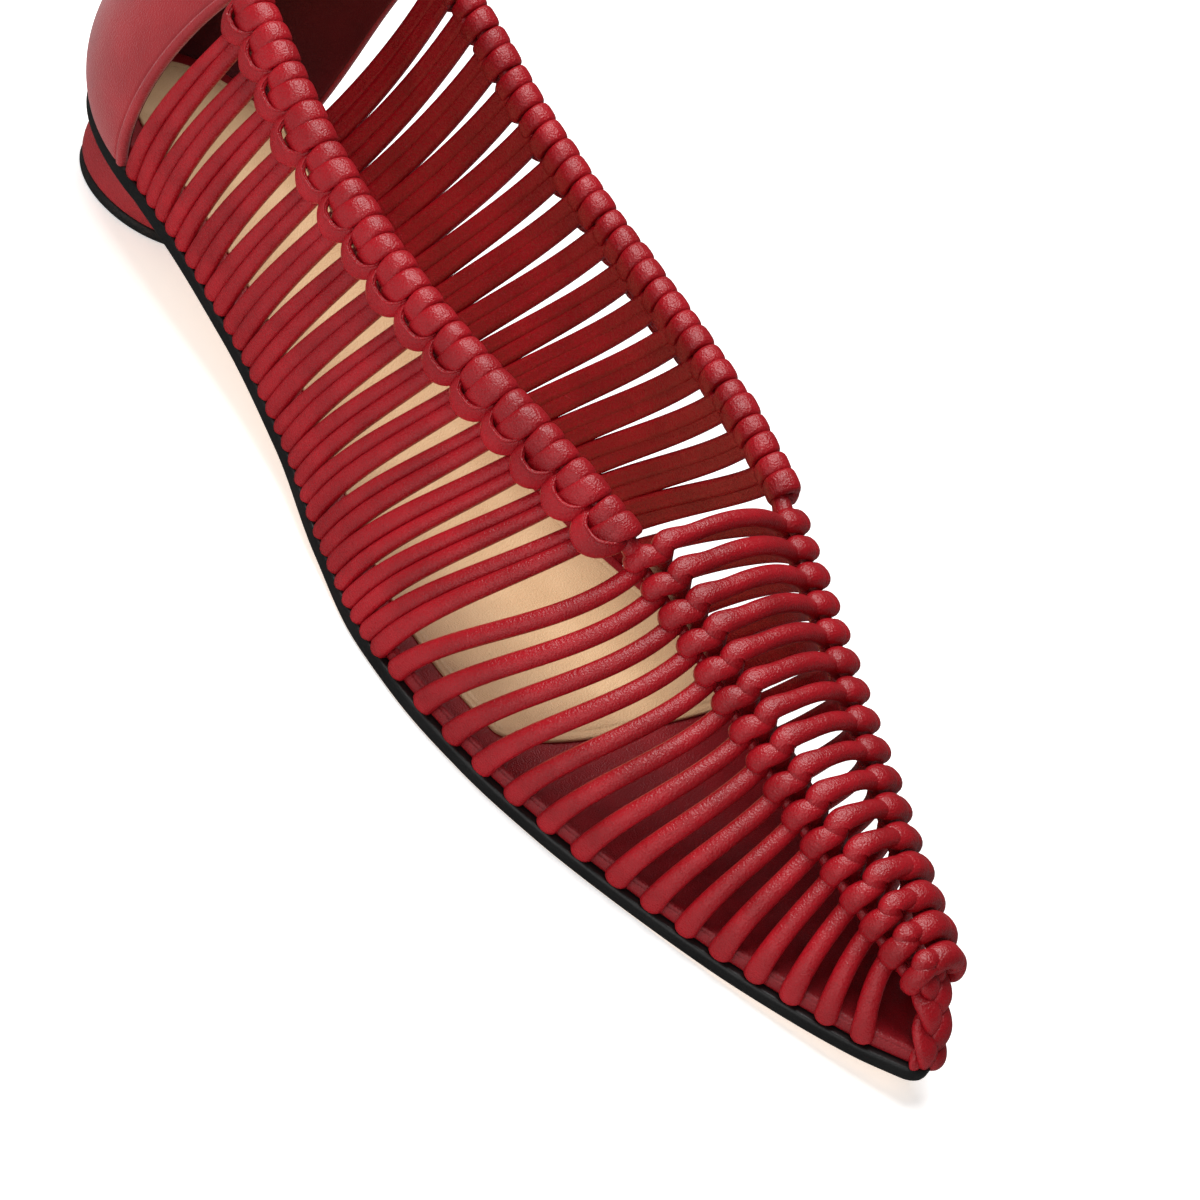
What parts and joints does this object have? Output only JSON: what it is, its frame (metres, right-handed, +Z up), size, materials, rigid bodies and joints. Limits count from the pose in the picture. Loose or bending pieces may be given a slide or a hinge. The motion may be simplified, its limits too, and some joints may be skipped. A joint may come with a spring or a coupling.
{
  "type": "flat shoe",
  "caption": "Right-foot pointed flat with a hollow corded leather upper over collar ropes and knot rows, smooth counter, thin sole and low round heel.",
  "frame": {"origin": "on the floor, under the middle of the shoe's bounding box", "axes": "+X towards the toe, +Y towards the medial side, +Z up"},
  "size_m": [0.2655, 0.0799, 0.0705],
  "materials": {
    "sole_edge": "black edge paint, satin",
    "red_leather": "smooth red nappa, soft sheen",
    "top_piece_rubber": "matte black",
    "insole_leather": "dark red, satin",
    "sock_leather": "natural tan, satin",
    "cord_leather": "red leather cord, soft sheen"
  },
  "bodies": {
    "root": {"outsole": "sole_edge", "heel": "red_leather", "top_piece": "top_piece_rubber", "insole": "insole_leather", "sock_lining": "sock_leather", "counter": "red_leather", "upper": "cord_leather"}
  },
  "joints": []
}
